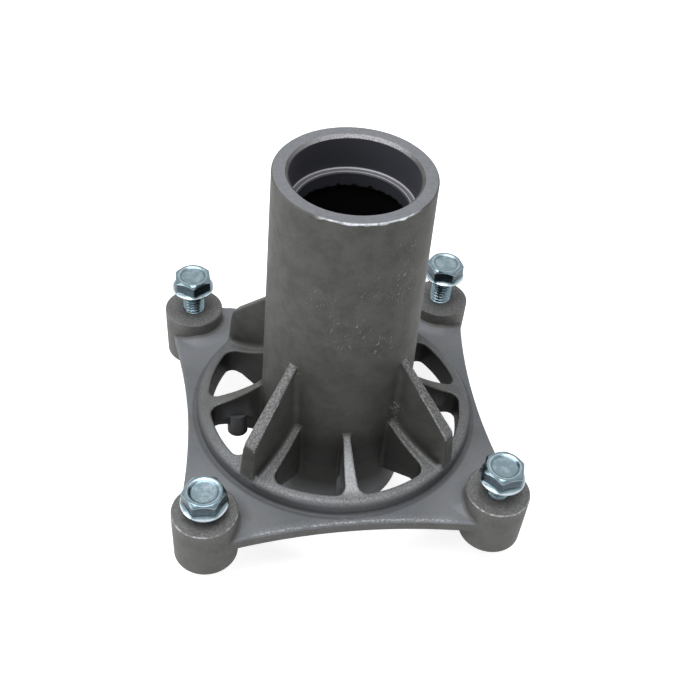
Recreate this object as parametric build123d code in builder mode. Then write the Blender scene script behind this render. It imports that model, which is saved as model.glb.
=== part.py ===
# Spindle housing: one aluminium casting with four hex washer head screws.
# Millimetres. The origin is the centre of the tube's lower rim, +Z runs up the bore.
import os
from math import asin, cos, hypot, radians, sin, tan

from build123d import *

os.makedirs("parts", exist_ok=True)

# Tube: a drafted cast barrel that is widest at the casting's parting plane
tube_height = 129.0
tube_top_radius = 25.1
tube_upper_draft = 1.4
tube_lower_draft = 0.8
tube_edge_break = 0.4

# Bore: a machined bearing seat at each end, a shoulder behind it, a cored cavity between
bearing_radius = 20.0
bearing_seat_depth = 12.0
seat_mouth_chamfer = 1.0
seat_corner_chamfer = 0.5
shoulder_radius = 17.7
shoulder_length = 5.0
shoulder_edge_chamfer = 0.5
cavity_radius = 19.0

# Bosses: four screw bosses on a square, their tops in one plane
boss_top_height = 34.5
boss_spacing = 97.2
boss_top_radius = 10.8
boss_foot_radius = 10.6
boss_height = 20.5
boss_edge_break = 0.5

# Flange: a square plate with hollow sides that joins the bosses
flange_drop = 7.2
flange_thickness = 4.3
flange_side_distance = 52.7
flange_side_radius = 220.0
flange_edge_fillet = 0.6
ring_foot_fillet = 1.0

# Wheel: a crowned ring that is joined to the tube by ribs with a scooped top
ring_outer_radius = 49.3
ring_width = 4.7
ring_crest_inset = 2.6
ring_rise = 5.0
ring_blank_overhang = 0.3
ring_blank_drop = 2.9
outer_wall_draft_angle = 5.7
outer_rim_fillet = 0.9
rib_root_rise = 11.0
rib_waist_radius = 34.0
rib_waist_rise = 2.4
rib_edge_fillet = 0.8
rib_foot_knee_inset = 10.2
rib_foot_root_depth = 18.6
middle_rib_root_width = 3.8
middle_rib_rim_width = 5.2
fin_base_root_width = 11.2
fin_base_rim_width = 14.6
window_rim_fillet = 3.0
window_root_fillet = 1.6
window_draft_angle = 2.5

# Fins: four tall tapered gussets over the diagonal ribs
fin_root_rise = 33.3
fin_shoulder_rise = 11.7
fin_shoulder_fillet = 3.0
fin_top_width = 3.1
fin_draft_angle = 2.0
fin_foot_fillet = 2.0
fin_root_fillet = 2.0
fin_root_drop = 2.0

# Ejector pads: a round pad under each of the four middle ribs
pad_radius = 3.65
pad_centre_radius = 35.0
pad_top_depth = 7.4
pad_foot_depth = 17.0

# Screws: hex washer head, plain shank at the thread's outer radius
thread_radius = 3.97
thread_clearance = 0.05
screw_length = 19.0
screw_point_length = 1.6
screw_point_radius = 3.0
washer_radius = 7.7
washer_edge_height = 0.7
washer_height = 1.3
head_across_flats = 12.7
head_height = 6.0
head_corner_drop = 0.9
head_recess_radius = 5.0
head_recess_depth = 0.5

# Edges that lie this close to a place count as lying on it
edge_tolerance = 0.01

# Heights and radii that follow from the sizes above
flange_top = boss_top_height - flange_drop
flange_bottom = flange_top - flange_thickness
parting_height = flange_top - flange_thickness / 2
tube_parting_radius = tube_top_radius + tube_upper_draft
tube_foot_radius = tube_parting_radius - tube_lower_draft
ring_top = flange_top + ring_rise
ring_inner_radius = ring_outer_radius - ring_width
fin_top = boss_top_height + fin_root_rise
fin_foot_height = (flange_top + ring_top) / 2
wheel_foot = boss_top_height - rib_foot_root_depth
wheel_overlap_radius = (bearing_radius + tube_top_radius) / 2
boss_hole_radius = thread_radius + thread_clearance


def tube_radius_at(height):
    """Outer radius of the drafted tube at a height."""
    if height >= parting_height:
        share = (height - parting_height) / (tube_height - parting_height)
        return tube_parting_radius - share * tube_upper_draft
    return tube_foot_radius + height / parting_height * tube_lower_draft


def beside(line_angle, offset, radius):
    """Point at a radius that lies an offset to one side of a radial line."""
    angle = radians(line_angle) + asin(offset / radius)
    return (radius * cos(angle), radius * sin(angle))


def on_circle(radius, angle):
    """Point on a circle about the bore."""
    return (radius * cos(radians(angle)), radius * sin(radians(angle)))


def bore_distance(edge):
    """Distance of an edge's middle from the axis of the bore."""
    middle = edge @ 0.5
    return hypot(middle.X, middle.Y)


def fin_distance(edge):
    """Distance of an edge's middle from the middle plane of the nearest fin."""
    middle = edge @ 0.5
    return abs(abs(middle.X) - abs(middle.Y)) / 2**0.5


def is_window_rim(edge):
    """True for the upper edges of the windows, which run over the ribs and round the ring."""
    lies_flat = abs((edge % 0.5).Z) < 0.9
    is_seam = min(abs((edge @ 0.5).X), abs((edge @ 0.5).Y)) < edge_tolerance
    inside_ring = bore_distance(edge) < ring_inner_radius + window_rim_fillet / 2
    return (edge @ 0.5).Z > flange_top and lies_flat and inside_ring and not is_seam


def rim_radius_at(height):
    """Radius of the drafted outer wall that the ring and the ends of the fins share."""
    return ring_outer_radius - (height - flange_top) * tan(radians(outer_wall_draft_angle))


def is_outer_rim(edge):
    """True for the ring's outer edge and the long edges of the fins, which continue it."""
    middle = edge @ 0.5
    on_wall = abs(bore_distance(edge) - rim_radius_at(middle.Z)) < edge_tolerance
    on_slope = middle.Z > rib_top and bore_distance(edge) > tube_top_radius
    return middle.Z > fin_foot_height and (on_wall or on_slope) and fin_distance(edge) > edge_tolerance


def is_fin_foot(edge):
    """True for the edges where a fin stands on its rib and on the ring."""
    lowest = min(vertex.Z for vertex in edge.vertices())
    reaches_ring = abs(lowest - ring_top) < fin_foot_fillet
    beside_fin = fin_top_width / 2 < fin_distance(edge) < fin_foot_width / 2
    return reaches_ring and abs((edge % 0.5).Z) < 0.9 and beside_fin


def is_fin_root(edge):
    """True for the upright edges where a fin meets the tube."""
    middle = edge @ 0.5
    upright = abs((edge % 0.5).Z) > 0.9 and middle.Z > ring_top
    on_tube = abs(bore_distance(edge) - tube_radius_at(middle.Z)) < edge_tolerance
    return upright and on_tube and fin_top_width / 2 < fin_distance(edge) < fin_foot_width / 2


def is_ring_foot(edge):
    """True for the circle where the ring rises out of the flange."""
    on_wall = abs(bore_distance(edge) - ring_outer_radius) < edge_tolerance
    on_flange = abs((edge @ 0.5).Z - flange_top) < edge_tolerance
    return edge.geom_type == GeomType.CIRCLE and on_wall and on_flange


# Outside of the tube, turned from its drafted outline
with BuildPart() as tube:
    with BuildSketch(Plane.XZ):
        with BuildLine():
            Polyline(
                (0, 0),
                (tube_foot_radius - tube_edge_break, 0),
                (tube_radius_at(tube_edge_break), tube_edge_break),
                (tube_parting_radius, parting_height),
                (tube_radius_at(tube_height - tube_edge_break), tube_height - tube_edge_break),
                (tube_top_radius - tube_edge_break, tube_height),
                (0, tube_height),
                close=True,
            )
        make_face()
    revolve(axis=Axis.Z)

# The bore as a solid, mirrored about the middle of the tube
with BuildPart() as bore:
    seat_floor = tube_height - bearing_seat_depth
    lip_floor = seat_floor - shoulder_length
    cavity_step = cavity_radius - shoulder_radius
    with BuildSketch(Plane.XZ):
        with BuildLine():
            Polyline(
                (0, tube_height / 2),
                (cavity_radius, tube_height / 2),
                (cavity_radius, lip_floor - cavity_step),
                (shoulder_radius, lip_floor),
                (shoulder_radius, seat_floor - shoulder_edge_chamfer),
                (shoulder_radius + shoulder_edge_chamfer, seat_floor),
                (bearing_radius - seat_corner_chamfer, seat_floor),
                (bearing_radius, seat_floor + seat_corner_chamfer),
                (bearing_radius, tube_height - seat_mouth_chamfer),
                (bearing_radius + seat_mouth_chamfer, tube_height),
                (0, tube_height),
                close=True,
            )
        make_face()
    revolve(axis=Axis.Z)
    mirror(about=Plane.XY.offset(tube_height / 2))

# One window between a middle rib at 0 degrees and the fin base at 45 degrees
rib_top = boss_top_height + rib_root_rise
rib_root_radius = tube_radius_at(boss_top_height)
window_middle_root = beside(0, middle_rib_root_width / 2, rib_root_radius)
window_middle_rim = beside(0, middle_rib_rim_width / 2, ring_inner_radius)
window_base_rim = beside(45, -fin_base_rim_width / 2, ring_inner_radius)
window_base_root = beside(45, -fin_base_root_width / 2, rib_root_radius)

with BuildPart() as window:
    with BuildSketch(Plane.XY.offset(parting_height)) as window_outline:
        with BuildLine():
            Line(window_middle_root, window_middle_rim)
            ThreePointArc(window_middle_rim, on_circle(ring_inner_radius, 45 / 2), window_base_rim)
            Line(window_base_rim, window_base_root)
            ThreePointArc(window_base_root, on_circle(rib_root_radius, 45 / 2), window_middle_root)
        make_face()
        fillet(window_outline.vertices().sort_by_distance((0, 0, 0))[-2:], window_rim_fillet)
        fillet(window_outline.vertices().sort_by_distance((0, 0, 0))[:2], window_root_fillet)
    extrude(amount=rib_top - parting_height, taper=-window_draft_angle)
    extrude(
        window_outline.sketch,
        amount=-(parting_height - wheel_foot),
        taper=-window_draft_angle,
    )

# Ring and ribs, turned as one scooped disc and then pierced by eight windows
with BuildPart() as wheel:
    with BuildSketch(Plane.XZ):
        with BuildLine():
            scoop_root = (wheel_overlap_radius, rib_top)
            scoop_waist = (rib_waist_radius, boss_top_height + rib_waist_rise)
            ring_crest = (ring_outer_radius - ring_crest_inset, ring_top)
            ring_blank_edge = (ring_outer_radius + ring_blank_overhang, ring_top - ring_blank_drop)
            scoop = ThreePointArc(scoop_root, scoop_waist, ring_crest)
            TangentArc(ring_crest, ring_blank_edge, tangent=scoop % 1)
            Polyline(
                ring_blank_edge,
                (ring_blank_edge[0], flange_bottom),
                (ring_outer_radius - rib_foot_knee_inset, flange_bottom),
                (wheel_overlap_radius, wheel_foot),
                scoop_root,
            )
        make_face()
    revolve(axis=Axis.Z)
    with PolarLocations(0, 4):
        add(window.part, mode=Mode.SUBTRACT)
        add(window.part.mirror(Plane.XZ), mode=Mode.SUBTRACT)
    fillet(wheel.edges().filter_by(is_window_rim), rib_edge_fillet)

# Envelope of ring and fins, turned about the bore: a drafted outer wall, a shoulder, a slope
with BuildPart() as envelope:
    fin_shoulder_height = boss_top_height + fin_shoulder_rise
    fin_end_radius = rim_radius_at(fin_shoulder_height)
    fin_top_root_radius = tube_radius_at(fin_top)
    fin_slope = (fin_top - fin_shoulder_height) / (fin_end_radius - fin_top_root_radius)
    fin_blank_top = fin_top + fin_slope * (fin_top_root_radius - bearing_radius)
    with BuildSketch(Plane.XZ) as envelope_outline:
        with BuildLine():
            Polyline(
                (bearing_radius, 0),
                (ring_outer_radius, 0),
                (ring_outer_radius, flange_top),
                (fin_end_radius, fin_shoulder_height),
                (bearing_radius, fin_blank_top),
                close=True,
            )
        make_face()
        shoulder = envelope_outline.vertices().sort_by_distance((fin_end_radius, fin_shoulder_height))[0]
        fillet(shoulder, fin_shoulder_fillet)
    revolve(axis=Axis.Z)

# One fin as a long bar with drafted sides
with BuildPart() as fin:
    fin_blank_width = fin_top_width - 2 * (fin_blank_top - fin_top) * tan(radians(fin_draft_angle))
    fin_foot_width = fin_top_width + 2 * (fin_top - fin_foot_height) * tan(radians(fin_draft_angle))
    with BuildSketch(Plane.YZ.offset(wheel_overlap_radius)):
        with BuildLine():
            Polyline(
                (-fin_foot_width / 2, fin_foot_height),
                (fin_foot_width / 2, fin_foot_height),
                (fin_blank_width / 2, fin_blank_top),
                (-fin_blank_width / 2, fin_blank_top),
                close=True,
            )
        make_face()
    extrude(amount=ring_outer_radius + ring_blank_overhang - wheel_overlap_radius)

# Wheel and fins together, with a cast fillet along the foot of each fin and a rounded outer rim
with BuildPart() as spider:
    add(wheel.part)
    with PolarLocations(0, 4, start_angle=45):
        add(fin.part)
    add(envelope.part, mode=Mode.INTERSECT)
    fillet(spider.edges().filter_by(is_fin_foot), fin_foot_fillet)
    fillet(spider.edges().filter_by(is_outer_rim), outer_rim_fillet)

# Tube and fins together, with a cast fillet up each side of each fin
with BuildPart() as barrel:
    with PolarLocations(0, 4, start_angle=45):
        add(fin.part)
    with Locations((0, 0, -fin_root_drop)):
        add(envelope.part, mode=Mode.INTERSECT)
    add(tube.part)
    fillet(barrel.edges().filter_by(is_fin_root), fin_root_fillet)

# Square plate with hollow sides, open under the wheel
with BuildPart() as flange:
    side_end = boss_spacing / 2
    side_sag = flange_side_radius - (flange_side_radius**2 - side_end**2) ** 0.5
    side_end_distance = flange_side_distance + side_sag
    with BuildSketch(Plane.XY.offset(flange_bottom)):
        with BuildLine():
            for turn in range(4):
                start = Vector(side_end_distance, -side_end).rotate(Axis.Z, 90 * turn)
                middle = Vector(flange_side_distance, 0).rotate(Axis.Z, 90 * turn)
                end = Vector(side_end_distance, side_end).rotate(Axis.Z, 90 * turn)
                corner = Vector(side_end, side_end_distance).rotate(Axis.Z, 90 * turn)
                ThreePointArc(start, middle, end)
                Line(end, corner)
        make_face()
        Circle((ring_inner_radius + ring_outer_radius) / 2, mode=Mode.SUBTRACT)
    extrude(amount=flange_thickness)
    top_edges = flange.edges().group_by(Axis.Z)[-1]
    fillet(top_edges.filter_by(lambda edge: bore_distance(edge) > ring_outer_radius), flange_edge_fillet)

# One screw boss, a drafted round pillar
with BuildPart() as boss:
    with BuildSketch(Plane.XZ):
        with BuildLine():
            Polyline(
                (0, boss_top_height - boss_height),
                (boss_foot_radius, boss_top_height - boss_height),
                (boss_top_radius, flange_top),
                (boss_top_radius, boss_top_height - boss_edge_break),
                (boss_top_radius - boss_edge_break, boss_top_height),
                (0, boss_top_height),
                close=True,
            )
        make_face()
    revolve(axis=Axis.Z)

# The whole casting
with BuildPart() as housing:
    add(barrel.part)
    add(spider.part)
    add(flange.part)
    fillet(housing.edges().filter_by(is_ring_foot), ring_foot_fillet)
    with GridLocations(boss_spacing, boss_spacing, 2, 2):
        add(boss.part)
    with BuildSketch(Plane.XY.offset(boss_top_height - pad_foot_depth)):
        with PolarLocations(pad_centre_radius, 4):
            Circle(pad_radius)
    extrude(amount=pad_foot_depth - pad_top_depth)
    add(bore.part, mode=Mode.SUBTRACT)
    with Locations((0, 0, boss_top_height)):
        with GridLocations(boss_spacing, boss_spacing, 2, 2):
            Hole(boss_hole_radius, depth=boss_height)

housing.part.label = "housing"
export_step(housing.part, "parts/housing.step")

# One screw with its washer face at height zero
with BuildPart() as screw:
    with BuildSketch(Plane.XZ):
        with BuildLine():
            Polyline(
                (0, -screw_length),
                (screw_point_radius, -screw_length),
                (thread_radius, -screw_length + screw_point_length),
                (thread_radius, 0),
                (washer_radius, 0),
                (washer_radius, washer_edge_height),
                (head_across_flats / 2, washer_height),
                (0, washer_height),
                close=True,
            )
        make_face()
    revolve(axis=Axis.Z)

# The hexagon of its head, crowned by a cone and dished on top
with BuildPart() as head:
    head_corner_radius = head_across_flats / 2 / cos(radians(30))
    head_rim_radius = head_across_flats / 2
    with BuildSketch():
        RegularPolygon(head_across_flats / 2, 6, major_radius=False)
    extrude(amount=head_height)
    with BuildSketch(Plane.XZ):
        with BuildLine():
            Polyline(
                (0, 0),
                (head_corner_radius, 0),
                (head_corner_radius, head_height - head_corner_drop),
                (head_rim_radius, head_height),
                (head_recess_radius, head_height),
                (head_recess_radius - head_recess_depth, head_height - head_recess_depth),
                (0, head_height - head_recess_depth),
                close=True,
            )
        make_face()
    revolve(axis=Axis.Z, mode=Mode.INTERSECT)

# Each screw stands as far above its boss as it has been driven:
# side in x and in y, stand-off, turn of the hexagon
screw_places = {
    "bolt_front_left": (-1, -1, 3.8, 56.5),
    "bolt_front_right": (1, -1, 6.6, 11),
    "bolt_rear_left": (-1, 1, 9.8, 31.5),
    "bolt_rear_right": (1, 1, 11.8, 45),
}
for name, (side_x, side_y, stand_off, head_turn) in screw_places.items():
    seat = Vector(side_x * boss_spacing / 2, side_y * boss_spacing / 2, boss_top_height + stand_off)
    with BuildPart() as bolt:
        with Locations(Location(seat, (0, 0, head_turn))):
            add(screw.part)
            add(head.part)
    bolt.part.label = name
    export_step(bolt.part, f"parts/{name}.step")
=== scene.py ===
"""Looks of the spindle housing: a blasted aluminium casting and its four zinc-plated screws.

Lengths are millimetres unless a name says otherwise, and meshes are written in metres.
"""

import logging
from dataclasses import dataclass
from enum import Enum
from math import cos, pi, radians, sin, tau

import bmesh
import bpy
import numpy as np
from mathutils import Matrix, Vector


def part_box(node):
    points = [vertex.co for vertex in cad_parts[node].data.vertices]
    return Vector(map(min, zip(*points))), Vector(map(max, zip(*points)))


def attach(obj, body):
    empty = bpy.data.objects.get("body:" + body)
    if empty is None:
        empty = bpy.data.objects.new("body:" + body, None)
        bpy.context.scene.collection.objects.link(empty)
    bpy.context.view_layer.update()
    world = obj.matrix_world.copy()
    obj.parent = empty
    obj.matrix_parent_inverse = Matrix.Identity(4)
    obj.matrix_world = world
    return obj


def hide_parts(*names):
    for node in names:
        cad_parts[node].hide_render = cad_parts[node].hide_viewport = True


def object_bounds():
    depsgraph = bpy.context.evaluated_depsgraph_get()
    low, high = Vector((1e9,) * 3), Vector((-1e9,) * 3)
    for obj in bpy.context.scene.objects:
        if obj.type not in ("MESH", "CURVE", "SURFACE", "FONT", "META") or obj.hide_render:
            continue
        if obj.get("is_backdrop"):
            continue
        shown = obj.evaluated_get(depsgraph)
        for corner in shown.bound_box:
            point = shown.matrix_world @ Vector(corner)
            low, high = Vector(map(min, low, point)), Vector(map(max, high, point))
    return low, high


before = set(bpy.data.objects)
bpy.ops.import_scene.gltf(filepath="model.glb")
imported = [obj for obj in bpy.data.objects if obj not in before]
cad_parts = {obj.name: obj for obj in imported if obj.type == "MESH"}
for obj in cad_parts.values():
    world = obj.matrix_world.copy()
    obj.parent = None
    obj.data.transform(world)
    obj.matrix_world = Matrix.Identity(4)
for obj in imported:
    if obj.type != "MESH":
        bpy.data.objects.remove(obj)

MM = 0.001
SMOOTH_BELOW = radians(32)
SCREW_TURNS_DEG = {
    "bolt_front_left": 56.5,
    "bolt_front_right": 11.0,
    "bolt_rear_left": 31.5,
    "bolt_rear_right": 45.0,
}
Socket = bpy.types.NodeSocket
Colour = tuple[float, float, float, float]
Spots = tuple[tuple[float, float, float, float], ...]
Rings = tuple[np.ndarray, np.ndarray, np.ndarray]
log = logging.getLogger("spindle_housing")


class Sum(Enum):
    """The sums that the finishes work out."""

    PLUS = "ADD"
    MINUS = "SUBTRACT"
    TIMES = "MULTIPLY"
    LARGER = "MAXIMUM"
    UNSIGNED = "ABSOLUTE"
    ROOT = "SQRT"


class Output(Enum):
    """What a node tree colours."""

    MATERIAL = "ShaderNodeOutputMaterial"
    WORLD = "ShaderNodeOutputWorld"


@dataclass(frozen=True)
class HousingSizes:
    """Sizes of the solid casting that its finish and the added pieces follow."""

    tube_middle: float = 64.5
    boss_middle: float = 48.6
    boss_radius: float = 10.8
    boss_top: float = 34.5
    flange_top: float = 27.3
    flange_side_middle: float = 52.7
    flange_side_radius: float = 220.0
    ring_radius: float = 49.3

    @property
    def side_centre(self) -> float:
        """Distance from the bore's axis to the point that a hollow side of the flange bends round."""
        return self.flange_side_middle + self.flange_side_radius


HOUSING = HousingSizes()


def colour(red: int, green: int, blue: int) -> Colour:
    """Turn a screen colour into the linear colour that a shader reads.

    Args:
        red: Red on the screen, 0 to 255.
        green: Green on the screen, 0 to 255.
        blue: Blue on the screen, 0 to 255.

    Returns:
        Linear red, green, blue and an alpha of one.
    """
    screen = np.array([red, green, blue]) / 255.0
    linear = np.where(screen <= 0.04045, screen / 12.92, ((screen + 0.055) / 1.055) ** 2.4)
    return (*map(float, linear), 1.0)


def smooth_step(low: float, high: float, value: np.ndarray) -> np.ndarray:
    """Rise from 0 at low to 1 at high along the curve 3 t^2 - 2 t^3; low above high makes it fall."""
    share = np.clip((value - low) / (high - low), 0.0, 1.0)
    return share * share * (3.0 - 2.0 * share)


def weld(points: np.ndarray, faces: np.ndarray, grain: float = 1e-7) -> tuple[np.ndarray, ...]:
    """Merge points that coincide and drop the triangles that this flattens.

    Args:
        points: Points as rows, in metres.
        faces: Triangles as rows of point numbers.
        grain: Points nearer than this are one.

    Returns:
        The merged points, the triangles that are left, the number that each kept point had before, and
        for each old triangle whether it is left.
    """
    _, first, back = np.unique(np.round(points / grain).astype(np.int64), axis=0, return_index=True,
                               return_inverse=True)
    faces = back.reshape(-1)[faces]
    kept = (faces[:, 0] != faces[:, 1]) & (faces[:, 1] != faces[:, 2]) & (faces[:, 2] != faces[:, 0])
    return points[first], faces[kept], first, kept


def tube_faces(rings: int, sides: int) -> np.ndarray:
    """Give the triangles of a grid of closed rings, numbered ring by ring.

    Args:
        rings: Number of rings from the first to the last.
        sides: Number of points round each ring.

    Returns:
        Triangles as rows of point numbers.
    """
    ring, side = np.meshgrid(np.arange(rings - 1), np.arange(sides), indexing="ij")
    here = ring * sides + side
    beside = ring * sides + (side + 1) % sides
    quads = np.stack([here, here + sides, beside + sides, beside], axis=-1).reshape(-1, 4)
    return np.concatenate([quads[:, [0, 1, 2]], quads[:, [0, 2, 3]]])


def new_mesh_object(name: str, points: np.ndarray, faces: np.ndarray) -> bpy.types.Object:
    """Put triangles into a new object at the origin.

    Args:
        name: Name of the object and of its mesh.
        points: Points as rows, in metres, in the row frame.
        faces: Triangles as rows of point numbers.

    Returns:
        The object, linked to the scene.
    """
    mesh = bpy.data.meshes.new(name)
    mesh.vertices.add(len(points))
    mesh.vertices.foreach_set("co", points.astype(np.float32).ravel())
    mesh.loops.add(faces.size)
    mesh.loops.foreach_set("vertex_index", faces.astype(np.int32).ravel())
    mesh.polygons.add(len(faces))
    mesh.polygons.foreach_set("loop_start", np.arange(0, faces.size, 3, dtype=np.int32))
    mesh.polygons.foreach_set("use_smooth", np.ones(len(faces), bool))
    mesh.update(calc_edges=True)
    mesh.validate()
    piece = bpy.data.objects.new(name, mesh)
    bpy.context.scene.collection.objects.link(piece)
    return piece


def add_marks(piece: bpy.types.Object, name: str, values: np.ndarray) -> None:
    """Store a number at each point of a piece, for its finish to read.

    Args:
        piece: The piece.
        name: Name of the attribute.
        values: One number for each point.
    """
    layer = piece.data.attributes.new(name, "FLOAT", "POINT")
    layer.data.foreach_set("value", np.ascontiguousarray(values, np.float32))


class Graph:
    """A node tree, with a short call for each kind of node that the finishes use."""

    def __init__(self, owner: bpy.types.Material | bpy.types.World) -> None:
        """Empty the node tree of a material or a world and take it over.

        Args:
            owner: The material or world.
        """
        owner.use_nodes = True
        self.owner = owner
        self.tree = owner.node_tree
        self.tree.nodes.clear()

    def node(self, kind: str, **inputs: object) -> bpy.types.Node:
        """Add a node and feed its inputs.

        Args:
            kind: Blender's name for the node's type.
            **inputs: Input names, with _ for a space, and a socket or a plain value for each.

        Returns:
            The node.
        """
        made = self.tree.nodes.new(kind)
        for name, value in inputs.items():
            self.feed(made.inputs[name.replace("_", " ")], value)
        return made

    def feed(self, target: Socket, value: object) -> None:
        """Link a socket to an input, or write a plain value on it.

        Args:
            target: The input.
            value: The socket or value.
        """
        if isinstance(value, Socket):
            self.tree.links.new(value, target)
        else:
            target.default_value = value

    def point(self) -> Socket:
        """Give the point in the piece's own frame, in metres."""
        return self.node("ShaderNodeTexCoord").outputs["Object"]

    def noise(self, where: Socket, grain: float, detail: float = 2.0, roughness: float = 0.5,
              warp: float = 0.0) -> Socket:
        """Give noise from 0 to 1 with lumps of about a grain's length.

        Args:
            where: The point.
            grain: Length of a lump in millimetres.
            detail: Number of finer layers.
            roughness: Strength of the finer layers.
            warp: How far the lumps are curled.

        Returns:
            The noise value.
        """
        made = self.node("ShaderNodeTexNoise", Vector=where, Scale=1.0 / (grain * MM), Detail=detail,
                         Roughness=roughness, Distortion=warp)
        return made.outputs["Fac"]

    def sum(self, kind: Sum, first: object, second: object = 0.0) -> Socket:
        """Work out one sum.

        Args:
            kind: The sum.
            first: Its first number or socket.
            second: Its second number or socket.

        Returns:
            The result.
        """
        made = self.tree.nodes.new("ShaderNodeMath")
        made.operation = kind.value
        self.feed(made.inputs[0], first)
        self.feed(made.inputs[1], second)
        return made.outputs[0]

    def plus(self, first: object, second: object) -> Socket:
        """Add two numbers or sockets."""
        return self.sum(Sum.PLUS, first, second)

    def minus(self, first: object, second: object) -> Socket:
        """Take the second number or socket from the first."""
        return self.sum(Sum.MINUS, first, second)

    def times(self, first: object, second: object) -> Socket:
        """Multiply two numbers or sockets."""
        return self.sum(Sum.TIMES, first, second)

    def larger(self, first: object, second: object) -> Socket:
        """Give the larger of two numbers or sockets."""
        return self.sum(Sum.LARGER, first, second)

    def unsigned(self, value: Socket) -> Socket:
        """Drop a number's sign."""
        return self.sum(Sum.UNSIGNED, value)

    def length(self, first: Socket, second: Socket) -> Socket:
        """Give the root of the sum of two squares."""
        return self.sum(Sum.ROOT, self.plus(self.times(first, first), self.times(second, second)))

    def span(self, value: Socket, low: float, high: float, start: float = 0.0, end: float = 1.0) -> Socket:
        """Map a value smoothly from one range to another and hold it outside.

        Args:
            value: The value.
            low: Where the change starts.
            high: Where it ends, which may be below low.
            start: Result at low.
            end: Result at high.

        Returns:
            The mapped value.
        """
        made = self.tree.nodes.new("ShaderNodeMapRange")
        made.interpolation_type = "SMOOTHSTEP"
        for name, number in (("From Min", low), ("From Max", high), ("To Min", start), ("To Max", end)):
            made.inputs[name].default_value = number
        self.feed(made.inputs["Value"], value)
        return made.outputs["Result"]

    def blend(self, share: object, first: object, second: object) -> Socket:
        """Blend two colours.

        Args:
            share: Share of the second colour.
            first: The first colour or socket.
            second: The second colour or socket.

        Returns:
            The blended colour.
        """
        made = self.tree.nodes.new("ShaderNodeMix")
        made.data_type = "RGBA"
        self.feed(made.inputs["Factor"], share)
        self.feed(made.inputs["A"], first)
        self.feed(made.inputs["B"], second)
        return made.outputs["Result"]

    def band(self, value: Socket, middle: float, half_width: float, soft: float) -> Socket:
        """Give 1 within a half width of a middle value and fall to 0 over a soft margin."""
        return self.span(self.unsigned(self.minus(value, middle)), half_width + soft, half_width)

    def all_of(self, *shares: Socket) -> Socket:
        """Multiply shares from 0 to 1, so that the result is high only where all are.

        Args:
            *shares: The shares.

        Returns:
            Their product.
        """
        total = shares[0]
        for share in shares[1:]:
            total = self.times(total, share)
        return total

    def near(self, where: Socket, spots: Spots) -> Socket:
        """Give 1 at a few spots, each falling to 0 at its reach.

        Args:
            where: The point in metres.
            spots: For each spot x, y, z and its reach, in millimetres.

        Returns:
            The largest share of them.
        """
        total = None
        for x, y, z, reach in spots:
            away = self.tree.nodes.new("ShaderNodeVectorMath")
            away.operation = "DISTANCE"
            self.feed(away.inputs[0], where)
            self.feed(away.inputs[1], (x * MM, y * MM, z * MM))
            share = self.span(away.outputs["Value"], reach * MM, 0.3 * reach * MM)
            total = share if total is None else self.larger(total, share)
        return total

    def attribute(self, name: str) -> Socket:
        """Give a number that the mesh holds at its points.

        Args:
            name: The attribute.

        Returns:
            Its value.
        """
        made = self.tree.nodes.new("ShaderNodeAttribute")
        made.attribute_name = name
        return made.outputs["Fac"]

    def bump(self, height: Socket, distance: float, strength: float) -> Socket:
        """Give the normal of a surface with a height pattern of so many millimetres on it."""
        made = self.node("ShaderNodeBump", Height=height, Distance=distance * MM, Strength=strength)
        return made.outputs["Normal"]

    def finish(self, shader: Socket, output: Output = Output.MATERIAL) -> bpy.types.Material | bpy.types.World:
        """Send a shader to the surface.

        Args:
            shader: The shader.
            output: What the tree colours.

        Returns:
            The material or world.
        """
        self.node(output.value, Surface=shader)
        return self.owner


@dataclass(frozen=True)
class CastingPlace:
    """Where a point of the casting lies, as sockets: the point in metres and the rest in millimetres."""

    point: Socket
    x: Socket
    y: Socket
    height: Socket
    radius: Socket
    from_middle: Socket
    from_boss: Socket

    @classmethod
    def of(cls, graph: Graph) -> "CastingPlace":
        """Work out the place.

        The radius is the distance from the bore's axis. Along the tube both ends are alike, so a height
        counts from its middle. The four bosses are alike, so the signs of x and y are dropped for the
        distance from a boss's axis.

        Args:
            graph: The material's graph.

        Returns:
            The place.
        """
        point = graph.point()
        parts = graph.node("ShaderNodeSeparateXYZ", Vector=point).outputs
        x, y, height = (graph.times(part, 1.0 / MM) for part in parts)
        aside, ahead = (graph.minus(graph.unsigned(side), HOUSING.boss_middle) for side in (x, y))
        from_middle = graph.unsigned(graph.minus(height, HOUSING.tube_middle))
        return cls(point, x, y, height, graph.length(x, y), from_middle, graph.length(aside, ahead))


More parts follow.
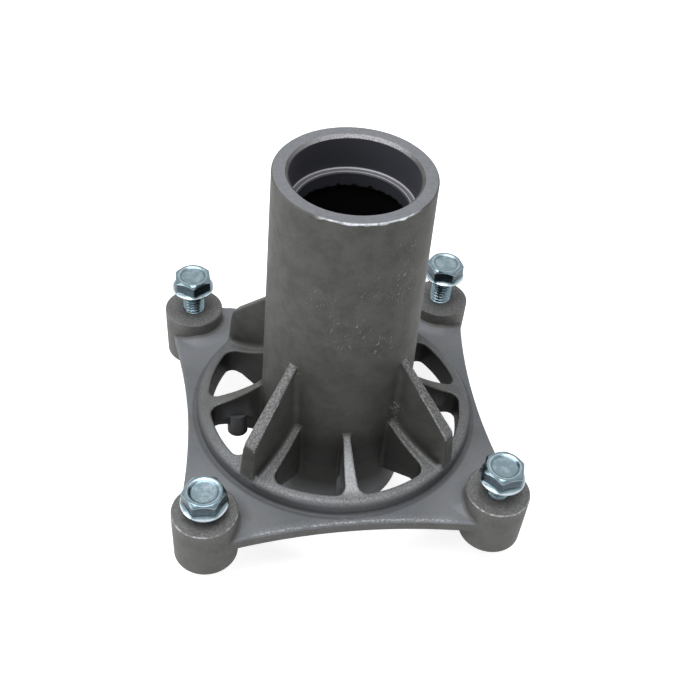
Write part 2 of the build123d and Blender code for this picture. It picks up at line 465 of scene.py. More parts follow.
@dataclass(frozen=True)
class CastAluminium:
    """Blasted, handled aluminium casting: grey grainy skin, worn bright edges and machined seats.

    Shade in the hollows and the bore, and highlights on tops, the crest, the lip and the flange's front, are
    painted. Each spot is x, y, z and its reach.
    """

    skin: Colour = colour(106, 109, 113)
    darker_tone: Colour = colour(92, 91, 87)
    grain: Colour = colour(78, 78, 79)
    # Worn metal; also the colour of painted highlights.
    worn: Colour = colour(186, 188, 191)
    nick: Colour = colour(222, 226, 232)
    # Colour of the painted shade in the hollows and along the ring's foot.
    painted_shade: Colour = colour(32, 31, 28)
    turned_face: Colour = colour(126, 129, 135)
    # Painted shade on the bore's wall.
    seat: Colour = colour(74, 75, 82)
    # Painted highlights on the shelf's edges and on the lip.
    seat_highlight: Colour = colour(182, 181, 184)
    # Near black: painted shade in the bore's cavity.
    cavity: Colour = colour(22, 22, 22)
    tarnish: Colour = colour(70, 70, 67)
    boss_skin: Colour = colour(100, 99, 95)
    knocked: Spots = ((3.8, -26.0, 104.0, 9.0), (-4.0, -26.0, 88.0, 11.0), (13.6, -22.5, 104.0, 11.0),
                      (13.6, -22.5, 117.0, 7.0), (9.0, -24.5, 80.0, 8.0), (-12.0, -23.0, 98.0, 7.0))
    flaked: Spots = ((15.8, -21.0, 47.5, 5.0), (17.5, -19.8, 41.0, 4.5), (19.3, -19.0, 35.0, 4.5),
                     (18.1, -20.5, 28.5, 3.5), (-14.7, -21.8, 25.5, 1.6), (30.0, -25.0, 52.0, 4.0),
                     (-2.6, -30.0, 22.0, 4.0))
    metallic: float = 0.15
    specular_level: float = 0.2
    end_from_middle: float = 64.44
    end_radius: float = 24.6
    seat_wall: float = 20.1
    lip_radius: float = 20.45
    shelf_from_middle: float = 52.62
    shelf_radius: float = 18.85
    shelf_lines: tuple[float, float] = (19.75, 18.0)
    cavity_from_middle: float = 47.6
    chip_top: float = 128.72
    chip_deep: float = 128.2
    crest_radius: float = 47.3

    def bore(self, graph: Graph, at: CastingPlace, surface: Socket) -> tuple[Socket, Socket]:
        """Lay the turned end faces, the machined seats and the rough cavity over the cast skin, with painted shade
        on the bore's wall and in the cavity and painted highlights on the shelf's edges and the lip.

        Args:
            graph: The material's graph.
            at: The place.
            surface: Colour of the cast skin.

        Returns:
            The colour with the bore laid on, and the share of the surface that is machined.
        """
        marks = graph.noise(at.point, 1.3, 4.0, 0.7)
        end_face = graph.all_of(graph.span(at.from_middle, self.end_from_middle - 0.06, self.end_from_middle),
                                graph.span(at.radius, self.end_radius + 0.15, self.end_radius),
                                graph.span(marks, 0.2, 0.75, 0.85, 0.5))
        surface = graph.blend(end_face, surface, self.turned_face)
        # Painted shade on the bore's wall.
        inside = graph.span(at.radius, self.seat_wall + 0.2, self.seat_wall)
        surface = graph.blend(inside, surface, self.seat)
        # Painted shade, near black, deep in the cavity.
        ragged = graph.span(graph.noise(at.point, 2.5, 3.0), 0.3, 0.7, -0.7, 0.7)
        in_cavity = graph.span(graph.plus(at.from_middle, ragged), self.cavity_from_middle + 0.3,
                               self.cavity_from_middle)
        surface = graph.blend(graph.all_of(inside, in_cavity), surface, self.cavity)
        fine = graph.noise(at.point, 0.45, 3.0, 0.7)
        # Painted highlight on the far side of the lip.
        lip = graph.all_of(graph.band(at.radius, self.lip_radius, 0.42, 0.2),
                           graph.span(at.from_middle, 63.2, 63.6),
                           graph.span(at.y, 4.0, 17.0), graph.span(at.x, -16.0, -6.0, 0.35, 1.0),
                           graph.span(fine, 0.3, 0.62, 0.15, 0.95))
        # Painted highlights along the shelf's two edges.
        on_shelf = graph.all_of(graph.band(at.radius, self.shelf_radius, 1.2, 0.1),
                                graph.band(at.from_middle, self.shelf_from_middle, 0.2, 0.05))
        outer, inner = self.shelf_lines
        lines = graph.larger(graph.band(at.radius, outer, 0.12, 0.2), graph.band(at.radius, inner, 0.16, 0.2))
        lines = graph.times(on_shelf, graph.plus(0.22, graph.times(lines, 0.75)))
        return graph.blend(graph.larger(lines, lip), surface, self.seat_highlight), inside

    def dings(self, graph: Graph, at: CastingPlace) -> Socket:
        """Mark small bright knocks: slanting strokes on the tube, and flakes beside the right fin.

        The strokes are noise on a point that is slid sideways as it rises and drawn out along the tube.

        Args:
            graph: The material's graph.
            at: The place.

        Returns:
            The share of bright metal.
        """
        slid = graph.times(graph.plus(at.x, graph.times(at.height, -0.3)), MM)
        drawn_out = graph.times(graph.times(at.height, 0.4), MM)
        slanted = graph.node("ShaderNodeCombineXYZ", X=slid, Y=graph.times(at.y, MM), Z=drawn_out)
        strokes = graph.noise(slanted.outputs["Vector"], 1.0, 2.0, 0.6, 1.6)
        on_tube = graph.all_of(graph.span(at.radius, 28.0, 27.0), graph.span(at.height, 60.0, 70.0),
                               graph.span(at.height, 126.0, 120.0))
        strokes = graph.all_of(graph.span(strokes, 0.6, 0.72), graph.near(at.point, self.knocked), on_tube)
        flakes = graph.span(graph.noise(at.point, 0.6, 2.0, 0.6), 0.6, 0.68)
        return graph.larger(graph.times(strokes, 0.6), graph.times(flakes, graph.near(at.point, self.flaked)))

    def chips(self, graph: Graph, at: CastingPlace) -> Socket:
        """Mark bright metal along the front of the tube's top edge and of the bosses' rims.

        Args:
            graph: The material's graph.
            at: The place.

        Returns:
            The share of bright metal.
        """
        bites = graph.noise(at.point, 1.7, 4.0, 0.65)
        low = graph.span(graph.noise(at.point, 5.0, 1.0), 0.42, 0.62, self.chip_top, self.chip_deep)
        edge = graph.times(graph.span(at.radius, 24.5, 24.8),
                           graph.span(graph.minus(at.height, low), -0.15, 0.15))
        front = graph.all_of(graph.span(at.y, -8.0, -22.0), graph.band(at.x, 1.0, 9.0, 10.0))
        edge = graph.all_of(edge, graph.span(front, 0.1, 0.9), graph.span(bites, 0.3, 0.6, 0.25, 1.0))
        rim = graph.all_of(graph.band(at.from_boss, HOUSING.boss_radius - 0.1, 0.2, 0.15),
                           graph.band(at.height, HOUSING.boss_top - 0.2, 0.25, 0.1),
                           graph.span(graph.plus(at.y, HOUSING.boss_middle), 2.0, -6.0),
                           graph.span(bites, 0.42, 0.66, 0.06, 0.55))
        return graph.larger(edge, rim)

    def flange_wear_and_highlight(self, graph: Graph, at: CastingPlace) -> Socket:
        """Mark a bright line along the rounding of the flange's front edge, partly wear and partly painted
        highlight, and a painted highlight on the top just behind it.

        The side is an arc about a point in front of the flange, so the distance from it is the distance
        from that point less the arc's radius.

        Args:
            graph: The material's graph.
            at: The place.

        Returns:
            The share of worn metal and painted highlight.
        """
        reach = graph.length(at.x, graph.plus(at.y, HOUSING.side_centre))
        inward = graph.minus(reach, HOUSING.flange_side_radius)
        breaks = graph.noise(at.point, 0.9, 3.0, 0.7)
        # Bright line along the front edge: partly wear, partly painted highlight.
        line = graph.all_of(graph.band(inward, 0.62, 0.3, 0.25), graph.span(breaks, 0.38, 0.62, 0.25, 0.68))
        # Painted highlight on the top behind the front edge.
        haze = graph.times(graph.span(inward, 5.0, 0.4), 0.3)
        return graph.all_of(graph.larger(line, haze), graph.band(at.height, HOUSING.flange_top - 0.3, 0.5, 0.3),
                            graph.span(graph.unsigned(at.x), 40.0, 30.0))

    def wear(self, graph: Graph, at: CastingPlace, grit: Socket) -> Socket:
        """Mark worn skin on rounded edges and tops, with painted highlight on the tops, along the ring's crest and
        on the flange's front.

        Grit makes the wear patchy, more so up the tube.

        Args:
            graph: The material's graph.
            at: The place.
            grit: Noise of the skin's coarse grain.

        Returns:
            The share of worn metal and painted highlight.
        """
        # Painted highlight along the ring's crest on the front.
        crest = graph.all_of(graph.band(at.radius, self.crest_radius, 0.35, 0.6), graph.span(at.height, 31.4, 31.8),
                             graph.span(at.height, 34.0, 33.4), graph.span(at.y, -8.0, -40.0))
        tops = graph.larger(graph.attribute("top_wear_and_highlight"), self.flange_wear_and_highlight(graph, at))
        tops = graph.larger(tops, graph.times(crest, 0.36))
        worn = graph.larger(graph.attribute("edge_wear"), tops)
        patchy = graph.times(graph.span(grit, 0.25, 0.75, -1.0, 1.0), graph.span(at.height, 38.0, 60.0, 0.16, 0.28))
        worn = graph.plus(worn, graph.times(patchy, graph.span(worn, 0.02, 0.3)))
        return graph.span(worn, 0.05, 1.1)

    def cast_skin(self, graph: Graph, at: CastingPlace, blast: Socket) -> Socket:
        """Colour the unworn skin: a darker, warmer tube, brownish boss walls, painted shade in the hollows and at
        the ring's foot, and a painted highlight on the flange near the bosses.

        Args:
            graph: The material's graph.
            at: The place.
            blast: Noise of the skin's fine grain.

        Returns:
            The colour.
        """
        mottle = graph.noise(at.point, 14.0, 5.0, 0.62)
        patches = graph.noise(at.point, 6.0, 4.0, 0.6)
        on_tube = graph.span(at.height, 29.0, 36.0)
        # The tube is coloured darker and warmer than the flange.
        skin = graph.blend(graph.times(on_tube, 0.85), self.skin, self.darker_tone)
        skin = graph.blend(graph.span(mottle, 0.4, 0.68, 0.0, 0.45), skin, self.darker_tone)
        skin = graph.blend(graph.times(on_tube, graph.span(patches, 0.34, 0.7, 0.0, 0.62)), skin, self.tarnish)
        on_wall = graph.larger(graph.span(at.from_boss, 12.2, 10.9), graph.span(at.height, 26.5, 25.9))
        on_wall = graph.all_of(on_wall, graph.span(at.radius, 49.8, 50.5),
                               graph.span(at.height, 34.45, 34.1, 0.35, 1.0))
        skin = graph.blend(graph.times(on_wall, 0.8), skin, self.boss_skin)
        skin = graph.blend(graph.all_of(on_wall, graph.span(patches, 0.45, 0.72, 0.0, 0.35)), skin, self.tarnish)
        skin = graph.blend(graph.span(blast, 0.45, 0.8, 0.0, 0.5), skin, self.grain)
        # Painted shade in the hollows, from the mesh's hollow marks.
        skin = graph.blend(graph.times(graph.attribute("hollow"), 0.95), skin, self.painted_shade)
        # Painted shade along the foot of the ring's outer wall.
        ring_foot = graph.all_of(graph.band(at.radius, 50.0, 0.7, 0.8), graph.span(at.height, 29.6, 28.0),
                                 graph.span(at.height, 26.4, 26.8))
        skin = graph.blend(graph.times(ring_foot, 0.35), skin, self.painted_shade)
        # Painted highlight on the flange near the bosses.
        corner = graph.all_of(graph.span(at.from_boss, 34.0, 15.0), graph.band(at.height, 28.0, 1.4, 0.3),
                              graph.span(at.radius, 50.0, 51.5), graph.span(mottle, 0.2, 0.7, 0.5, 1.0),
                              graph.span(at.from_boss, 11.3, 12.0))
        return graph.blend(graph.times(corner, 0.16), skin, self.worn)

    def build(self) -> bpy.types.Material:
        """Make the material.

        Returns:
            The material, which reads three attributes of the mesh: edge wear, top wear with painted highlight, and
            painted shade in the hollows.
        """
        graph = Graph(bpy.data.materials.new("cast_aluminium_skin"))
        at = CastingPlace.of(graph)
        blast = graph.noise(at.point, 0.5, 3.0, 0.75)
        grit = graph.noise(at.point, 0.6, 3.0, 0.65)
        wear = self.wear(graph, at, grit)
        surface = graph.blend(wear, self.cast_skin(graph, at, blast), self.worn)
        surface = graph.blend(graph.times(self.dings(graph, at), 0.7), surface, self.worn)
        surface = graph.blend(self.chips(graph, at), surface, self.nick)
        surface, machined = self.bore(graph, at, surface)
        normal = graph.bump(graph.plus(graph.times(blast, 0.7), graph.times(grit, 0.6)), 0.05, 0.8)
        rough = graph.minus(graph.span(blast, 0.3, 0.7, 0.46, 0.62), graph.times(wear, 0.12))
        rough = graph.minus(rough, graph.times(machined, 0.1))
        shader = graph.node("ShaderNodeBsdfPrincipled", Base_Color=surface, Metallic=self.metallic,
                            Roughness=rough, Specular_IOR_Level=self.specular_level, Normal=normal)
        return graph.finish(shader.outputs["BSDF"])


@dataclass(frozen=True)
class ZincPlate:
    """Bright zinc plate with a blue tint, slightly cloudy; its highlights and dark reflections are painted from the
    mesh's shine marks.
    """

    bright: Colour = colour(214, 224, 229)
    cloud: Colour = colour(126, 146, 155)
    dark: Colour = colour(66, 77, 84)

    def build(self) -> bpy.types.Material:
        """Make the material.

        Returns:
            The material, which reads the mesh's own shine marks at its points: painted dark reflection at 0, cloudy
            at 0.5, painted highlight at 1.
        """
        graph = Graph(bpy.data.materials.new("zinc_plate"))
        where = graph.point()
        cloud = graph.noise(where, 2.5, 4.0, 0.6)
        # Painted highlights and painted dark reflections, from the mesh's shine marks.
        painted_shine = graph.plus(graph.attribute("painted_shine"), graph.span(cloud, 0.3, 0.7, -0.07, 0.07))
        tint = graph.blend(graph.span(painted_shine, 0.0, 0.5), self.dark, self.cloud)
        tint = graph.blend(graph.span(painted_shine, 0.5, 1.0), tint, self.bright)
        normal = graph.bump(graph.noise(where, 0.4, 2.0), 0.01, 0.5)
        shader = graph.node("ShaderNodeBsdfPrincipled", Base_Color=tint, Metallic=1.0,
                            Roughness=graph.span(cloud, 0.3, 0.7, 0.2, 0.32), Normal=normal)
        return graph.finish(shader.outputs["BSDF"])


@dataclass(frozen=True)
class PaleFloor:
    """Plain pale floor, white to the eye and in reflections, that keeps a soft shadow."""

    paint: Colour = colour(235, 235, 235)
    glow: Colour = (1.0, 1.0, 1.0, 1.0)
    seen_glow: float = 0.74
    mirrored_glow: float = 0.3
    roughness: float = 0.9

    def build(self) -> bpy.types.Material:
        """Make the material.

        Returns:
            The material.
        """
        graph = Graph(bpy.data.materials.new("pale_floor"))
        rays = graph.node("ShaderNodeLightPath").outputs
        strength = graph.larger(graph.times(rays["Is Camera Ray"], self.seen_glow),
                                graph.times(rays["Is Glossy Ray"], self.mirrored_glow))
        shader = graph.node("ShaderNodeBsdfPrincipled", Base_Color=self.paint, Roughness=self.roughness,
                            Emission_Color=self.glow, Emission_Strength=strength)
        return graph.finish(shader.outputs["BSDF"])


@dataclass
class Casting:
    """The housing's casting, carried over from its solid and marked with where it is worn, where highlights are
    painted on its tops and where shade is painted in its hollows.

    The marks are numbers at the mesh's points, which the finish reads.
    """

    node: str = "housing"
    sharpest_curve: float = 1.05
    scoop_points: tuple[tuple[float, float], ...] = ((22.55, 45.5), (34.0, 36.9), (46.7, 32.3))
    fin_root: tuple[float, float] = (25.8, 67.8)
    fin_shoulder: tuple[float, float] = (47.4, 46.2)
    fin_half_width: float = 1.75
    bore_wall: float = 21.5
    pad_top: float = 27.1

    def read(self) -> tuple[np.ndarray, np.ndarray, np.ndarray]:
        """Read the solid's triangles.

        Returns:
            Points in millimetres, triangles, and the surface normal at each triangle's corners.
        """
        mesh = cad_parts[self.node].data
        points = np.empty(len(mesh.vertices) * 3, np.float32)
        mesh.vertices.foreach_get("co", points)
        corners = np.empty(len(mesh.loops), np.int32)
        mesh.loops.foreach_get("vertex_index", corners)
        normals = np.empty(len(mesh.loops) * 3, np.float32)
        mesh.corner_normals.foreach_get("vector", normals)
        points, faces, _, kept = weld(points.reshape(-1, 3).astype(float), corners.reshape(-1, 3))
        return points / MM, faces, normals.reshape(-1, 3, 3).astype(float)[kept]

    def convexity(self, points: np.ndarray, faces: np.ndarray, normals: np.ndarray) -> np.ndarray:
        """Measure at each point how tightly the surface curves outwards, per millimetre.

        A triangle's curve is the largest, along its three sides, of the change of normal along the side
        times the side's direction over its length. A point takes the least of its triangles, so that a
        flat neighbour keeps the mark inside the rounded strip.

        Args:
            points: Points as rows, in millimetres.
            faces: Triangles as rows of point numbers.
            normals: Surface normal at each triangle's corners.

        Returns:
            One value for each point, below zero in hollows.
        """
        side = points[np.roll(faces, -1, axis=1)] - points[faces]
        turn = np.roll(normals, -1, axis=1) - normals
        along = np.sum(side * turn, axis=2) / np.maximum(np.sum(side * side, axis=2), 1e-9)
        strongest = np.take_along_axis(along, np.abs(along).argmax(axis=1)[:, None], axis=1)[:, 0]
        least = np.full(len(points), np.inf)
        np.minimum.at(least, faces.ravel(), np.repeat(strongest, 3))
        return np.where(np.isfinite(least), least, 0.0)

    def scoop_height(self, radius: np.ndarray) -> np.ndarray:
        """Give the height of the scooped top of ribs and ring: the lower side of a circle through three points.

        Args:
            radius: Distances from the bore's axis.

        Returns:
            Heights.
        """
        rows = np.array([(2 * r, 2 * z, 1.0) for r, z in self.scoop_points])
        middle_r, middle_z, rest = np.linalg.solve(rows, [r * r + z * z for r, z in self.scoop_points])
        reach = rest + middle_r**2 + middle_z**2
        return middle_z - np.sqrt(np.maximum(reach - (radius - middle_r) ** 2, 0.0))

    def on_fin_top(self, points: np.ndarray, radius: np.ndarray) -> np.ndarray:
        """Mark the tops of the fins, which fall in a straight line from root to shoulder on the diagonals.

        Args:
            points: Points as rows.
            radius: Their distances from the bore's axis.

        Returns:
            Shares from 0 to 1.
        """
        x, y, z = points.T
        slope = (self.fin_root[1] - self.fin_shoulder[1]) / (self.fin_shoulder[0] - self.fin_root[0])
        fin_top = self.fin_root[1] - slope * (radius - self.fin_root[0])
        aside = np.abs(np.abs(x) - np.abs(y)) / 2**0.5
        across = smooth_step(self.fin_half_width + 0.5, self.fin_half_width, aside) * (radius > 25.0)
        return across * smooth_step(0.75, 0.2, np.abs(z - fin_top)) * (z > 44.0)

    def hollows(self, z: np.ndarray, radius: np.ndarray) -> np.ndarray:
        """Mark where shade is painted: the inner side of the wheel, the tube's foot and the ring's outer wall.

        Args:
            z: Heights of the points.
            radius: Their distances from the bore's axis.

        Returns:
            Shares from 0 to 1.
        """
        inner = smooth_step(48.6, 46.0, radius) * smooth_step(96.0, 58.0, z) * smooth_step(4.0, 16.0, z)
        inner *= 0.36 + 0.64 * smooth_step(50.0, 30.0, z)
        # Painted shade on the ring's outer wall.
        wall = smooth_step(48.3, 48.8, radius) * (radius < HOUSING.ring_radius + 0.3)
        wall *= smooth_step(27.4, 28.2, z) * (z < 32.0)
        on_pad = (np.abs(z - self.pad_top) < 0.1) & (radius > 30.0) & (radius < 39.5)
        return np.maximum(inner * np.where(on_pad, 0.45, 1.0), 0.3 * wall)

    def marks(self, points: np.ndarray, convex: np.ndarray) -> dict[str, np.ndarray]:
        """Work out wear, painted highlights on the tops and painted shade in the hollows at the points.

        Args:
            points: Points as rows, in millimetres.
            convex: Outward curve at the points.

        Returns:
            Values from 0 to 1 for each attribute that the finish reads.
        """
        x, y, z = points.T
        radius = np.hypot(x, y)
        on_fin = self.on_fin_top(points, radius)
        on_scoop = smooth_step(0.8, 0.25, np.abs(z - self.scoop_height(radius)))
        on_scoop *= smooth_step(26.0, 28.0, radius) * (radius < HOUSING.ring_radius + 0.2)
        crest = smooth_step(45.2, 46.4, radius) * smooth_step(48.9, 47.6, radius) * (z > 31.2) * (z < 33.5)
        front = smooth_step(5.0, -35.0, y)
        middle_rib = smooth_step(4.0, 2.0, np.abs(x)) * front * smooth_step(46.0, 43.0, radius)
        middle_rib *= 0.35 + 0.65 * smooth_step(27.0, 37.0, radius)
        scoop_wear = on_scoop * (0.14 + 0.16 * front + 0.36 * middle_rib)
        # This share grows towards the front; on the tops it stands partly for painted highlight.
        handled = 0.25 + 0.75 * smooth_step(12.0, -10.0, y)
        # Tops of fins, ribs, ring and bosses: partly wear, partly painted highlight, more so on the front.
        tops = np.maximum(on_fin * 0.31 * handled, np.maximum(scoop_wear, crest * (0.1 + 0.1 * front)))
        corner = np.hypot(np.abs(x) - HOUSING.boss_middle, np.abs(y) - HOUSING.boss_middle)
        on_boss = (corner < HOUSING.boss_radius + 0.7) & (z > HOUSING.boss_top - 1.0)
        sharp = smooth_step(0.42 * self.sharpest_curve, 0.95 * self.sharpest_curve, convex)
        gain = np.where(z > 100.0, 0.15, 0.5) * smooth_step(29.0, 30.5, z) * (1.0 - on_boss) * handled
        outside = radius >= self.bore_wall
        # Top marks are partly wear and partly painted highlight; hollow marks are painted shade.
        return {
            "edge_wear": outside * sharp * gain,
            "top_wear_and_highlight": outside * np.maximum(tops, on_boss * 0.25),
            "hollow": outside * self.hollows(z, radius) * (1.0 - np.maximum(on_fin, on_scoop)),
        }

    def build(self, finish: bpy.types.Material) -> bpy.types.Object:
        """Make the dressed casting and let it stand for the solid.

        Args:
            finish: The cast aluminium.

        Returns:
            The piece.
        """
        points, faces, normals = self.read()
        piece = new_mesh_object("housing_casting", points * MM, faces)
        piece.data.normals_split_custom_set(normals.reshape(-1, 3))
        for name, values in self.marks(points, self.convexity(points, faces, normals)).items():
            add_marks(piece, name, values)
        piece.data.materials.append(finish)
        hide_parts(self.node)
        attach(piece, "root")
        log.info("%s: %d triangles", piece.name, len(piece.data.polygons))
        return piece


@dataclass
class BossFeet:
    """The low soft rises of the flange round the feet of the four bosses."""

    boss_middle: float = HOUSING.boss_middle
    boss_radius: float = HOUSING.boss_radius
    flange_top: float = HOUSING.flange_top
    width: float = 5.2
    rise_share: float = 0.4
    room_share: float = 0.8
    clear_of_edge: float = 0.9
    sunk: float = 0.3
    skin_depth: float = 0.01
    sections: int = 90
    steps: int = 8

    def width_at(self, angle: np.ndarray) -> np.ndarray:
        """Give the width of the rise at each angle round the boss.

        The flange's side is an arc about a point outside it, so the room on the flange is the distance
        from that point less the arc's radius. The rise takes a share of that room, up to its full width.

        Args:
            angle: Angles round the axis of the boss at plus x and plus y.

        Returns:
            Widths in millimetres, zero where the flange ends.
        """
        x = self.boss_middle + self.boss_radius * np.cos(angle)
        y = self.boss_middle + self.boss_radius * np.sin(angle)
        centre = HOUSING.side_centre
        room = np.minimum(np.hypot(x - centre, y), np.hypot(x, y - centre)) - HOUSING.flange_side_radius
        return np.clip(self.room_share * (room - self.clear_of_edge), 0.0, self.width)

    def strip(self) -> tuple[np.ndarray, np.ndarray]:
        """Carry the rise's section round the inner side of one boss.

        Along the section the share t runs from the flange to the boss. The distance from the boss falls
        as the width times 1 - t, and the height grows as the rise times t squared. A corner that is sunk
        into flange and boss closes the section.

        Returns:
            Points in millimetres and triangles.
        """
        probe = np.linspace(-pi, pi, 721)
        inward = 1.25 * pi
        reach = np.abs(probe[self.width_at(probe + inward) < 0.05]).min()
        angle = inward + np.linspace(-reach, reach, self.sections)[:, None]
        size = self.width_at(angle)
        rise = self.rise_share * size
        share = np.linspace(0.0, 1.0, self.steps + 1)
        deep = 0 * size - self.sunk
        out = np.concatenate([size * (1.0 - share) - self.skin_depth, deep, deep, size], axis=1)
        up = np.concatenate([rise * share**2 - self.skin_depth, rise, deep, deep], axis=1)
        far = self.boss_radius + out
        points = np.stack([self.boss_middle + far * np.cos(angle), self.boss_middle + far * np.sin(angle),
                           self.flange_top + up], axis=-1)
        sides = points.shape[1]
        ring = np.arange(1, sides - 1)
        cap = np.stack([0 * ring, ring, ring + 1], axis=1)
        faces = [tube_faces(self.sections, sides), cap, cap[:, ::-1] + (self.sections - 1) * sides]
        return points.reshape(-1, 3), np.concatenate(faces)

    def build(self, finish: bpy.types.Material) -> bpy.types.Object:
        """Make the four strips, mirrored to the corners, as one piece.

        Args:
            finish: The cast aluminium.

        Returns:
            The piece.
        """
        points, faces = self.strip()
        corners = [(1, 1, 1), (-1, 1, 1), (-1, -1, 1), (1, -1, 1)]
        every = np.concatenate([points * corner for corner in corners]) * MM
        joined = np.concatenate([faces + number * len(points) for number in range(len(corners))])
        piece = new_mesh_object("boss_foot_rises", every, joined)
        shell = bmesh.new()
        shell.from_mesh(piece.data)
        bmesh.ops.recalc_face_normals(shell, faces=shell.faces)
        shell.to_mesh(piece.data)
        shell.free()
        piece.data.set_sharp_from_angle(angle=SMOOTH_BELOW)
        piece.data.materials.append(finish)
        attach(piece, "root")
        log.info("%s: %d triangles", piece.name, len(piece.data.polygons))
        return piece


@dataclass
class WasherHeadScrew:
    """One hex washer head screw with a rolled thread, standing where its solid stands."""

    node: str
    head_turn_deg: float
    across_flats: float = 12.7
    corner_radius: float = 7.2
    head_height: float = 6.0
    crown_radius: float = 5.95
    crown_drop: float = 0.95
    recess_radius: float = 5.0
    recess_depth: float = 0.5
    washer_radius: float = 7.7
    washer_edge: float = 0.7
    washer_height: float = 1.3
    shank_length: float = 19.0
    point_length: float = 1.6
    point_radius: float = 3.0
    thread_radius: float = 3.97
    root_radius: float = 3.2
    pitch: float = 25.4 / 18
    neck: float = 0.5
    crest_flat: float = 0.12
    round_edge: float = 0.14
    sides: int = 96
    steps_per_turn: int = 12

    def hexagon(self, angle: np.ndarray) -> np.ndarray:
        """Distance from the axis to the hexagon's side at each angle, with slightly rounded corners."""
        turned = np.mod(angle - radians(self.head_turn_deg), pi / 3) - pi / 6
        return np.minimum(self.across_flats / 2 / np.cos(turned), self.corner_radius)

    def head(self, angle: np.ndarray) -> Rings:
        """Work out the rings of the head, from the middle of its top to the underside of its washer.

        The crown falls in a straight cone from the crown radius, and the hexagon's sides cut it. The
        washer's top falls in a straight cone from the hexagon to its edge.

        Args:
            angle: Angles round the axis.

        Returns:
            Radius, height and painted shine, with a row for each ring.
        """
        side = self.hexagon(angle)
        top = self.head_height
        soft = self.round_edge
        slope = self.crown_drop / (self.corner_radius - self.crown_radius)
        crown = top - slope * np.maximum(side - self.crown_radius, 0.0)
        fall = (self.washer_height - self.washer_edge) / (self.washer_radius - self.across_flats / 2)
        foot = self.washer_height - fall * (side - self.across_flats / 2)
        floor = top - self.recess_depth
        outer = np.minimum(side + 3 * soft, self.washer_radius - soft)
        outer_height = self.washer_height - fall * (outer - self.across_flats / 2)
        # Each ring's third number is painted shine: painted highlights on rims and edges, painted dark reflections
        # on the hexagon's faces.
        rings = [
            (0.0, floor, 0.59),
            (self.recess_radius - 1.1, floor, 0.59),
            (self.recess_radius - 0.6, floor + 0.05, 0.2),
            (self.recess_radius - soft, top - soft, 0.6),
            (self.recess_radius + soft, top, 0.75),
            (self.crown_radius - soft, top, 0.38),
            (self.crown_radius + soft, top - slope * soft / 2, 0.42),
            (side - soft, crown + slope * soft / 2, 0.28),
            (side, crown - soft, 0.8),
            (side, crown - 2.5 * soft, 0.08),
            (side, (crown + foot) / 2, 0.06),
            (side, foot + 2 * soft, 0.14),
            (side + soft, foot + soft / 2, 0.35),
            (outer, outer_height, 0.48),
            (self.washer_radius - soft, self.washer_edge, 0.95),
            (self.washer_radius, self.washer_edge - soft, 0.9),
            (self.washer_radius, soft, 0.35),
            (self.washer_radius - soft, 0.0, 0.35),
            (self.root_radius + 0.3, 0.0, 0.3),
        ]
        return tuple(np.array([np.broadcast_to(ring[part], angle.shape) for ring in rings]) for part in range(3))

    def thread(self, angle: np.ndarray) -> Rings:
        """Work out the rings of the shank, from under the washer to its point.

        The radius is a triangle wave of height over pitch less one turn, with its crest and root cut flat,
        and it fades out at the neck and along the point.

        Args:
            angle: Angles round the axis.

        Returns:
            Radius, height and painted shine, with a row for each ring.
        """
        step = self.pitch / self.steps_per_turn
        height = np.arange(-step, -self.shank_length + step / 2, -step)[:, None]
        wave = np.abs(2.0 * np.mod(height / self.pitch - angle / tau, 1.0) - 1.0)
        wave = np.clip((wave - self.crest_flat) / (1.0 - 2.0 * self.crest_flat), 0.0, 1.0)
        fade = np.clip((-height - self.neck) / self.pitch, 0.0, 1.0)
        to_point = np.maximum(-height - (self.shank_length - self.point_length), 0.0) / self.point_length
        crest = self.thread_radius - to_point * (self.thread_radius - self.point_radius)
        root = np.minimum(self.root_radius, crest)
        radius = root + (crest - root) * wave * fade
        tip = np.ones((2, 1)) * np.ones_like(angle)
        # Thread crests get more painted shine than roots, as painted highlights.
        return (np.concatenate([radius, tip * [[self.point_radius - 0.3], [0.0]]]),
                np.concatenate([np.broadcast_to(height, radius.shape), -self.shank_length * tip]),
                np.concatenate([0.15 + 0.45 * wave, 0.5 * tip]))

    def build(self, finish: bpy.types.Material) -> bpy.types.Object:
        """Make the screw and let it stand for its solid.

        Args:
            finish: The zinc plate.

        Returns:
            The piece.
        """
        low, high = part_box(self.node)
        angle = np.arange(self.sides) * tau / self.sides
        radius, height, painted_shine = (np.concatenate(parts) for parts in zip(self.head(angle), self.thread(angle)))
        seat = high.z - self.head_height * MM
        points = np.stack([(low.x + high.x) / 2 + radius * MM * np.cos(angle),
                           (low.y + high.y) / 2 + radius * MM * np.sin(angle), seat + height * MM], axis=-1)
        points, faces, kept, _ = weld(points.reshape(-1, 3), tube_faces(len(radius), self.sides))
        piece = new_mesh_object(f"{self.node}_threaded", points, faces)
        add_marks(piece, "painted_shine", painted_shine.ravel()[kept])
        piece.data.set_sharp_from_angle(angle=SMOOTH_BELOW)
        piece.data.materials.append(finish)
        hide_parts(self.node)
        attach(piece, "root")
        log.info("%s: %d triangles", piece.name, len(piece.data.polygons))
        return piece


@dataclass(frozen=True)
class SoftLamp:
    """One square lamp that looks at the middle of the object."""

    name: str
    place_m: tuple[float, float, float]
    size_m: float
    power_w: float
    tint: tuple[float, float, float] = (1.0, 1.0, 1.0)
    aim_m: tuple[float, float, float] = (0.0, 0.0, 0.06)

    def build(self) -> bpy.types.Object:
        """Hang the lamp.

        Returns:
            The lamp.
        """
        light = bpy.data.lights.new(self.name, "AREA")
        light.size = self.size_m
        light.energy = self.power_w
        light.color = self.tint
        lamp = bpy.data.objects.new(self.name, light)
        lamp.location = self.place_m
        lamp.rotation_euler = (Vector(self.aim_m) - Vector(self.place_m)).to_track_quat("-Z", "Y").to_euler()
        bpy.context.scene.collection.objects.link(lamp)
        return lamp


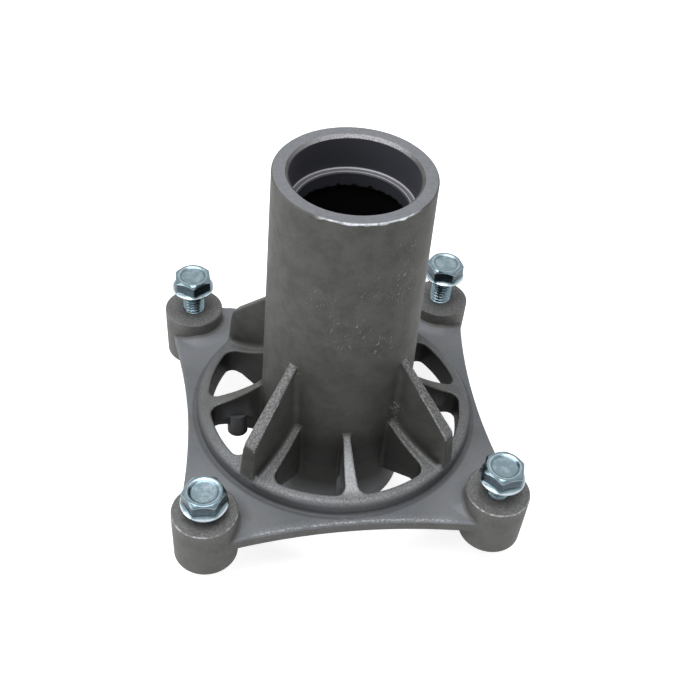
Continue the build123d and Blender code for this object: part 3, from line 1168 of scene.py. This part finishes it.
@dataclass
class Studio:
    """Floor, lamps, world and camera."""

    floor_half_width_m: float = 3.0
    lens_mm: float = 53.32
    sensor_mm: float = 36.0
    camera_place_m: tuple[float, float, float] = (-0.0507, -0.2518, 0.3049)
    heading_deg: float = 12.21
    dip_deg: float = 44.10
    roll_deg: float = 5.91
    world_light: float = 0.4
    world_seen: float = 1.0
    lamps: tuple[SoftLamp, ...] = (
        SoftLamp("overhead", (-0.15, -0.05, 1.0), 0.8, 8.8, (0.97, 0.98, 1.0)),
        SoftLamp("side", (-0.9, -0.2, 0.45), 0.5, 2.0),
    )

    def floor(self) -> bpy.types.Object:
        """Lay the floor at the lowest point of the object.

        Returns:
            The floor.
        """
        half = self.floor_half_width_m
        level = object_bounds()[0].z
        points = np.array([(-half, -half, level), (half, -half, level), (half, half, level), (-half, half, level)])
        floor = new_mesh_object("floor", points, np.array([(0, 1, 2), (0, 2, 3)]))
        floor.data.materials.append(PaleFloor().build())
        floor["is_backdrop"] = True
        return floor

    def world(self) -> None:
        """Light everything softly from all round, and look white past the floor and in reflections."""
        graph = Graph(bpy.data.worlds.new("studio"))
        rays = graph.node("ShaderNodeLightPath").outputs
        looked_at = graph.larger(graph.larger(rays["Is Camera Ray"], rays["Is Glossy Ray"]),
                                 rays["Is Transmission Ray"])
        strength = graph.span(looked_at, 0.0, 1.0, self.world_light, self.world_seen)
        background = graph.node("ShaderNodeBackground", Color=(1.0, 1.0, 1.0, 1.0), Strength=strength)
        bpy.context.scene.world = graph.finish(background.outputs["Background"], Output.WORLD)

    def camera(self) -> None:
        """Set the camera at the photograph's place, heading, dip and roll."""
        heading, dip, roll = radians(self.heading_deg), radians(self.dip_deg), radians(self.roll_deg)
        forward = Vector((sin(heading) * cos(dip), cos(heading) * cos(dip), -sin(dip)))
        level_right = Vector((cos(heading), -sin(heading), 0.0))
        level_up = level_right.cross(forward)
        right = level_right * cos(roll) + level_up * sin(roll)
        up = level_up * cos(roll) - level_right * sin(roll)
        turn = Matrix((right, up, -forward)).transposed()
        data = bpy.data.cameras.new("photo_camera")
        data.lens = self.lens_mm
        data.sensor_width = self.sensor_mm
        camera = bpy.data.objects.new("photo_camera", data)
        camera.matrix_world = Matrix.Translation(self.camera_place_m) @ turn.to_4x4()
        bpy.context.scene.collection.objects.link(camera)
        bpy.context.scene.camera = camera

    def build(self) -> None:
        """Set up the whole studio."""
        self.floor()
        self.world()
        for lamp in self.lamps:
            lamp.build()
        self.camera()
        bpy.context.scene.view_settings.view_transform = "Standard"


def main() -> None:
    """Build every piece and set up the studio."""
    logging.basicConfig(level=logging.INFO, format="%(name)s %(message)s")
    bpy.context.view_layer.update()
    cast = CastAluminium().build()
    Casting().build(cast)
    BossFeet().build(cast)
    zinc = ZincPlate().build()
    for node, turn in SCREW_TURNS_DEG.items():
        WasherHeadScrew(node, turn).build(zinc)
    Studio().build()


if __name__ == "__main__":
    main()
